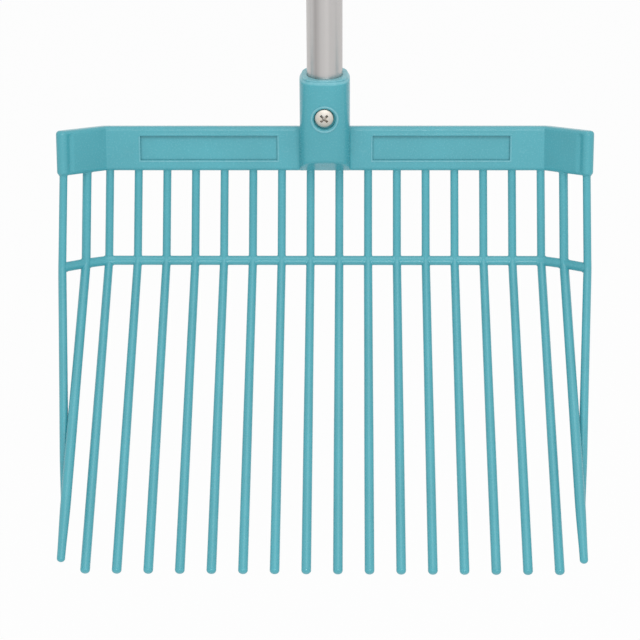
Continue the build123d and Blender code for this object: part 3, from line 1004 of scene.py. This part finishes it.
def tube_patches(sizes):
    """The tube's wall, a closed loop of (radius, height) with rounded ends, turned about the axis."""
    outer, inner, edge = TUBE_RADIUS, TUBE_RADIUS - TUBE_WALL, 0.3 * MM
    low, high = tube_low.z, tube_high.z
    profile = [(outer - edge + edge * math.sin(b), high - edge + edge * math.cos(b)) for b in arc(0, 90, 5)]
    profile += [(outer, z) for z in np.linspace(high - 2 * MM, low + 2 * MM, 40)]
    profile += [(outer - edge + edge * math.cos(b), low + edge - edge * math.sin(b)) for b in arc(0, 90, 5)]
    profile += [(inner + edge - edge * math.sin(b), low + edge - edge * math.cos(b)) for b in arc(0, 90, 5)]
    profile += [(inner, z) for z in np.linspace(low + 2 * MM, high - 2 * MM, 12)]
    profile += [(inner + edge - edge * math.cos(b), high - edge + edge * math.sin(b)) for b in arc(0, 90, 5)]
    return [grid(turned(profile, 128), close_rows=True, close_columns=True)]


def tube_depth(x, z):
    """How far the handle's round side stands from its axis: sqrt(R^2 - x^2)."""
    return np.sqrt(TUBE_RADIUS**2 - x**2)


def cap_patches(sizes):
    """End cap: a domed head turned about the axis, a hollow plug below it, and a rounded cross hole."""
    crown, base, height = sizes.cap_round, CAP_BASE, CAP_HEIGHT
    radius, plug, lining = TUBE_RADIUS, TUBE_RADIUS - TUBE_WALL - 0.05 * MM, 9.25 * MM
    low = cap_low.z
    hole_z = base + height - HANG_HOLE_BELOW_TOP
    hole = sizes.hang_hole_diameter / 2
    edge = 0.35 * MM
    profile = [(0, base + height), ((radius - crown) * 0.6, base + height), (radius - crown - 0.2 * MM, base + height)]
    profile += [(radius - crown + crown * math.sin(b), base + height - crown + crown * math.cos(b)) for b in arc(0, 90, 15)]
    profile += [(radius, z) for z in np.linspace(hole_z + 6.8 * MM, hole_z - 6.8 * MM, 15)]
    profile += [(radius, z) for z in np.linspace(hole_z - 8.5 * MM, base + edge + 0.3 * MM, 5)]
    profile += [(radius - edge + edge * math.cos(b), base + edge - edge * math.sin(b)) for b in arc(0, 90, 5)]
    profile += [(plug + 0.2 * MM, base), (plug, base - 0.2 * MM), (plug, low + 1.2 * MM), (plug, low + MM),
                (plug - MM, low), (lining, low), (lining, base - 0.5 * MM), (0, base - 0.5 * MM)]
    columns, half = 128, 11
    skin = turned(profile, columns)
    first = 3 + 15
    last = first + 14
    front_block = (first, last, -half % columns, 2 * half)
    rear_block = (first, last, columns // 2 - half, 2 * half)
    bevel = 0.8 * MM
    rings = [(hole + bevel + 0.4 * MM, 0, 0, 0)]
    rings += [(hole + bevel * (1 - math.sin(b)), -bevel * (1 - math.cos(b)), 0, 0) for b in arc(0, 90, 7)]
    entry = port_rings(border(skin, *front_block), hole_z, -1, tube_depth, rings)
    through = [entry[-1:] * np.array([1, share, 1]) for share in (0.5, 0, -0.5)]
    tunnel = np.concatenate([entry, *through, entry[::-1] * np.array([1, -1, 1])])
    return [opened(skin, front_block, rear_block), grid(tunnel, close_columns=True)]


def facing(points, side):
    """Local (x, depth out, z) of a fastener on the screw's axis, as points of the model."""
    return points * np.array([1, side, 1]) + np.array([0, 0, SCREW_Z])


def level_rows(values, columns):
    """Rows of one value each, all round."""
    return np.repeat(np.asarray(values, float)[:, None], columns, 1)


def screw_patches(sizes):
    """Low domed head with a cross recess, a shank, and a rolled thread at its end.

    Head height is a circle's cap, h = H - S + sqrt(S^2 - r^2), less the recess, whose depth falls
    from the middle to the arms' ends. Thread radius is the crest less a wave of s / pitch - a / 2 pi.
    """
    columns = 144
    turn = np.radians(np.arange(columns) * 360 / columns)
    edge = 0.45 * MM
    rise = HEAD_HEIGHT - HEAD_EDGE
    sphere = (HEAD_RADIUS**2 + rise**2) / (2 * rise)
    reach = np.concatenate([np.linspace(0, 3.7, 50), np.linspace(3.9, 6.05, 8)]) * MM
    radius = np.broadcast_to(reach[:, None], (len(reach), columns))
    dome = HEAD_HEIGHT - sphere + np.sqrt(sphere**2 - radius**2)
    sunk = 2.2 * MM * smooth((1.25 * MM - radius) / (0.5 * MM))
    for arm in (math.pi / 4, -math.pi / 4):
        lengthwise = np.abs(radius * np.cos(turn - arm))
        across = np.abs(radius * np.sin(turn - arm))
        depth = 2.2 * MM * np.clip(1 - (lengthwise / (3.45 * MM)) ** 3, 0, 1) ** 0.5
        sunk = np.maximum(sunk, depth * smooth((0.82 * MM - across) / (0.22 * MM)))
    rim = arc(0, 90, 7)[1:]
    slant = math.asin((HEAD_RADIUS - edge) / sphere)
    rim = slant + (math.pi / 2 - slant) * rim / (math.pi / 2)
    shoulder = HEAD_HEIGHT - sphere + sphere * math.cos(slant)
    edge_r = HEAD_RADIUS - edge + edge * (np.sin(rim) - math.sin(slant)) / (1 - math.sin(slant))
    edge_h = shoulder - edge * (math.cos(slant) - np.cos(rim))
    side_r = np.array([HEAD_RADIUS, HEAD_RADIUS - 0.15 * MM, SCREW_RADIUS + 0.3 * MM, SCREW_RADIUS, SCREW_RADIUS])
    side_h = np.array([0.15, 0, 0, -0.3, -23.0]) * MM
    thread_s = np.linspace(23.2, 35.0, 95) * MM
    wave = np.abs(np.mod(thread_s[:, None] / MM - turn[None, :] / (2 * math.pi), 1.0) * 2 - 1)
    fade = smooth((thread_s - 23.2 * MM) / (1.5 * MM))[:, None]
    thread = SCREW_RADIUS - 0.55 * MM * smooth(wave) * fade
    thread = np.minimum(thread, (2.2 * MM + SCREW_LENGTH - thread_s)[:, None])
    rows_r = np.concatenate([
        radius, level_rows(edge_r, columns), level_rows(side_r, columns), thread, level_rows([0], columns)
    ])
    rows_h = np.concatenate([
        dome - sunk, level_rows(edge_h, columns), level_rows(side_h, columns),
        level_rows(-thread_s, columns), level_rows([-SCREW_LENGTH], columns),
    ])
    play = HEAD_PLAY * smooth(rows_h / (0.2 * MM))
    surface = np.stack([rows_r * np.cos(turn) - play, rows_h + SEAT, rows_r * np.sin(turn)], -1)
    return [grid(facing(surface, -1), close_columns=True)]


def nut_patches(sizes):
    """Hexagonal nut with rounded-off corners and a round collar: radius is the least of hexagon and cone."""
    columns = 120
    turn = np.radians(np.arange(columns) * 360 / columns)
    six = hexagon(NUT_FLATS, turn)[None, :]
    h = np.array([0, 0, 0.1, 0.35, 0.7, 1.5, 3.0, 3.9, 4.2, 4.35, 4.4]) * MM
    cone = np.array([3.9, 4.7, 5.0, 5.35, 5.75, 6, 6, 5.75, 5.4, 5.1, 4.75])[:, None] * MM
    collar_r = np.array([4.4, 4.4, 4.3, 4.05, 3.75, 3.7, 3.0, 3.0]) * MM
    collar_h = np.array([4.55, 5.5, 5.85, NUT_HEIGHT / MM, 5.95, 5.6, 5.6, 0.3]) * MM
    rows_r = np.concatenate([np.minimum(six, cone), level_rows(collar_r, columns)])
    rows_h = level_rows(np.concatenate([h, collar_h]), columns)
    surface = np.stack([rows_r * np.cos(turn), rows_h + SEAT, rows_r * np.sin(turn)], -1)
    return [grid(facing(surface, 1), close_rows=True, close_columns=True)]


def squared(value):
    """A cosine or sine pushed out towards a square: sign(v) |v|^0.55."""
    return np.sign(value) * np.abs(value) ** 0.55


def nylon_patches(sizes):
    """The nut's locking ring: a small rounded ring, turned about the screw."""
    loop = arc(0, 360, 25)[:-1]
    turn = arc(0, 360, 65)[:-1]
    reach = 3.36 * MM + 0.32 * MM * squared(np.cos(loop))[:, None]
    rise = 5.72 * MM + 0.16 * MM * squared(np.sin(loop))[:, None]
    surface = np.stack([reach * np.cos(turn), np.broadcast_to(rise + SEAT, (24, 64)), reach * np.sin(turn)], -1)
    return [grid(facing(surface, 1), close_rows=True, close_columns=True)]


# Operators


class FORK_OT_crossbeam(bpy.types.Operator):
    """Build both halves of the crossbeam with their wings and bare panels"""

    bl_idname = "fork.crossbeam"
    bl_label = "Crossbeam"

    def execute(self, context):
        patches = crossbeam_patches(context.scene.fork_sizes)
        plastic = finish_of(context, "plastic")
        piece("crossbeam_right", patches, plastic, "head_plastic", "beam_right", "wing_right")
        other = [(mirrored(points), quads) for points, quads in patches]
        piece("crossbeam_left", other, plastic, "head_plastic", "beam_left", "wing_left")
        return {"FINISHED"}


class FORK_OT_socket(bpy.types.Operator):
    """Build the socket with its screw ring, its nut boss and its fillets to the beam"""

    bl_idname = "fork.socket"
    bl_label = "Socket"

    def execute(self, context):
        patches = socket_patches(context.scene.fork_sizes)
        piece("handle_socket", patches, finish_of(context, "plastic"), "head_plastic", "head_socket")
        return {"FINISHED"}


class FORK_OT_tines(bpy.types.Operator):
    """Build the twenty bent tines"""

    bl_idname = "fork.tines"
    bl_label = "Tines"

    def execute(self, context):
        plastic = finish_of(context, "plastic")
        for number, plan in enumerate(tine_plan()):
            patches = tine_patches(context.scene.fork_sizes, *plan)
            other = [(mirrored(points), quads) for points, quads in patches]
            right, left = 11 + number, 10 - number
            piece("round_tine_%02d" % right, patches, plastic, "head_plastic", "tine_%02d" % right)
            piece("round_tine_%02d" % left, other, plastic, "head_plastic", "tine_%02d" % left)
        return {"FINISHED"}


class FORK_OT_rib(bpy.types.Operator):
    """Build the cross rib through the tines' bends"""

    bl_idname = "fork.rib"
    bl_label = "Cross rib"

    def execute(self, context):
        patches = rib_patches(context.scene.fork_sizes)
        piece("moulded_cross_rib", patches, finish_of(context, "plastic"), "head_plastic", "cross_rib")
        return {"FINISHED"}


class FORK_OT_handle(bpy.types.Operator):
    """Build the aluminium tube and its end cap"""

    bl_idname = "fork.handle"
    bl_label = "Handle"

    def execute(self, context):
        sizes = context.scene.fork_sizes
        piece("aluminium_tube", tube_patches(sizes), finish_of(context, "aluminium"), "tube_metal", "handle_tube")
        piece("hanging_cap", cap_patches(sizes), finish_of(context, "plastic"), "cap_plastic", "handle_end_cap")
        return {"FINISHED"}


class FORK_OT_fasteners(bpy.types.Operator):
    """Build the clamping screw and its lock nut"""

    bl_idname = "fork.fasteners"
    bl_label = "Fasteners"

    def execute(self, context):
        sizes = context.scene.fork_sizes
        zinc = finish_of(context, "zinc")
        piece("cross_recess_screw", screw_patches(sizes), zinc, "fastener_steel", "clamp_screw")
        piece("collar_nut", nut_patches(sizes), zinc, "fastener_steel", "lock_nut")
        piece("nut_locking_ring", nylon_patches(sizes), finish_of(context, "nylon"), "fastener_steel")
        return {"FINISHED"}


def shown_white(tree):
    """1 for what the camera sees straight on, in gloss or through clear parts, and 0 for other light."""
    path = add(tree, "ShaderNodeLightPath").outputs
    seen = path["Is Camera Ray"]
    for kind in ("Is Glossy Ray", "Is Transmission Ray"):
        seen = add(tree, "ShaderNodeMath", {0: seen, 1: path[kind]}, operation="MAXIMUM").outputs[0]
    return seen


def floor_finish(colours):
    """Pale floor that the camera, gloss and clear surfaces see as white, less the object's shadow."""
    finish, tree, shader = nodes_of("pale_floor")
    tree.nodes.remove(shader)
    where = add(tree, "ShaderNodeTexCoord").outputs["Object"]
    grain = noise(tree, where, 40, 2)
    base = tuple(colours.floor)
    matt = add(tree, "ShaderNodeBsdfDiffuse", {"Roughness": 0.5})
    tree.links.new(tinted(tree, grain, scaled(base, 0.99), scaled(base, 1.01)), matt.inputs["Color"])
    light = add(tree, "ShaderNodeEmission", {"Color": (1, 1, 1, 1), "Strength": 1.0})
    part = add(tree, "ShaderNodeMath", {0: shown_white(tree), 1: 0.95}, operation="MULTIPLY")
    mix = add(tree, "ShaderNodeMixShader", {0: part.outputs[0], 1: matt.outputs[0], 2: light.outputs[0]})
    tree.links.new(mix.outputs[0], tree.nodes["Material Output"].inputs["Surface"])
    return finish


def softbox(name, place, aim, size, power, glossy=True):
    """A rectangular area lamp that faces a point, with or without its own glint."""
    lamp = bpy.data.lights.new(name, "AREA")
    lamp.shape, lamp.size, lamp.size_y = "RECTANGLE", size[0], size[1]
    lamp.energy = power
    holder = bpy.data.objects.new(name, lamp)
    back = unit(np.subtract(place, aim))
    across = unit(np.cross([0, 0, 1.0], back))
    turn = Matrix((across, np.cross(back, across), back)).transposed().to_4x4()
    holder.matrix_world = Matrix.Translation(place) @ turn
    holder.visible_camera = False
    holder.visible_glossy = glossy
    bpy.context.scene.collection.objects.link(holder)


class FORK_OT_stage(bpy.types.Operator):
    """Set up the floor, the surroundings, the soft lamps and the camera"""

    bl_idname = "fork.stage"
    bl_label = "Stage"

    def execute(self, context):
        scene = context.scene
        level = cad_box[0].z - 0.30
        edge = np.linspace(-6, 6, 9)
        x, y = np.meshgrid(edge, edge + 2, indexing="ij")
        points, quads = grid(np.stack([x, y, np.full_like(x, level)], -1))
        mesh = bpy.data.meshes.new("pale_floor")
        mesh.from_pydata(points.tolist(), [], quads[:, ::-1].tolist())
        mesh.materials.append(floor_finish(scene.fork_colours))
        floor = bpy.data.objects.new("pale_floor", mesh)
        scene.collection.objects.link(floor)

        world = bpy.data.worlds.new("white_room")
        scene.world = world
        world.use_nodes = True
        tree = world.node_tree
        shown = tree.nodes["Background"]
        shown.inputs["Color"].default_value = (1, 1, 1, 1)
        lit = add(tree, "ShaderNodeBackground", {"Color": (0.98, 0.99, 1.0, 1), "Strength": 0.69})
        mix = add(tree, "ShaderNodeMixShader", {0: shown_white(tree), 1: lit.outputs[0], 2: shown.outputs[0]})
        tree.links.new(mix.outputs[0], tree.nodes["World Output"].inputs["Surface"])

        softbox("top_softbox", (0.15, -0.3, 1.6), (0, -0.1, -0.1), (1.2, 1.2), 6)
        softbox("front_softbox", (0.25, -2.0, 0.68), (0, -0.05, -0.1), (1.4, 0.2), 11)
        softbox("low_softbox", (-0.1, -1.6, -0.45), (0, 0, -0.05), (1.6, 0.6), 3.9, glossy=False)

        camera = bpy.data.cameras.new("photo_camera")
        camera.lens = 36 * 1994.82 / 640
        camera.sensor_width = 36
        camera.clip_start, camera.clip_end = 0.05, 50
        holder = bpy.data.objects.new("photo_camera", camera)
        forward = unit([-0.0146212, 0.9004230, -0.4347696])
        yaw, roll = math.radians(-0.930), math.radians(-0.330)
        level_right = np.array([math.cos(yaw), -math.sin(yaw), 0])
        level_up = np.cross(level_right, forward)
        right = math.cos(roll) * level_right + math.sin(roll) * level_up
        over = -math.sin(roll) * level_right + math.cos(roll) * level_up
        turn = Matrix((right, over, -forward)).transposed().to_4x4()
        holder.matrix_world = Matrix.Translation((0.0176186, -1.3515350, 0.4582839)) @ turn
        scene.collection.objects.link(holder)
        scene.camera = holder
        scene.view_settings.view_transform = "Standard"
        return {"FINISHED"}


class FORK_PT_panel(bpy.types.Panel):
    """Sizes, colours and the steps that build the fork"""

    bl_idname = "FORK_PT_panel"
    bl_label = "Manure fork"
    bl_space_type = "VIEW_3D"
    bl_region_type = "UI"
    bl_category = "Fork"

    def draw(self, context):
        layout = self.layout
        for settings in (context.scene.fork_sizes, context.scene.fork_colours):
            box = layout.box()
            for name in settings.__annotations__:
                box.prop(settings, name)
        for step in STEPS:
            layout.operator(step.bl_idname)


STEPS = (
    FORK_OT_stage,
    FORK_OT_crossbeam,
    FORK_OT_socket,
    FORK_OT_tines,
    FORK_OT_rib,
    FORK_OT_handle,
    FORK_OT_fasteners,
)
CLASSES = (ForkSizes, ForkColours, *STEPS, FORK_PT_panel)


def register():
    for cls in CLASSES:
        bpy.utils.register_class(cls)
    bpy.types.Scene.fork_sizes = PointerProperty(type=ForkSizes)
    bpy.types.Scene.fork_colours = PointerProperty(type=ForkColours)


def unregister():
    del bpy.types.Scene.fork_colours
    del bpy.types.Scene.fork_sizes
    for cls in reversed(CLASSES):
        bpy.utils.unregister_class(cls)


def main():
    register()
    bpy.ops.fork.stage()
    bpy.ops.fork.crossbeam()
    bpy.ops.fork.socket()
    bpy.ops.fork.tines()
    bpy.ops.fork.rib()
    bpy.ops.fork.handle()
    bpy.ops.fork.fasteners()


if __name__ == "__main__":
    main()
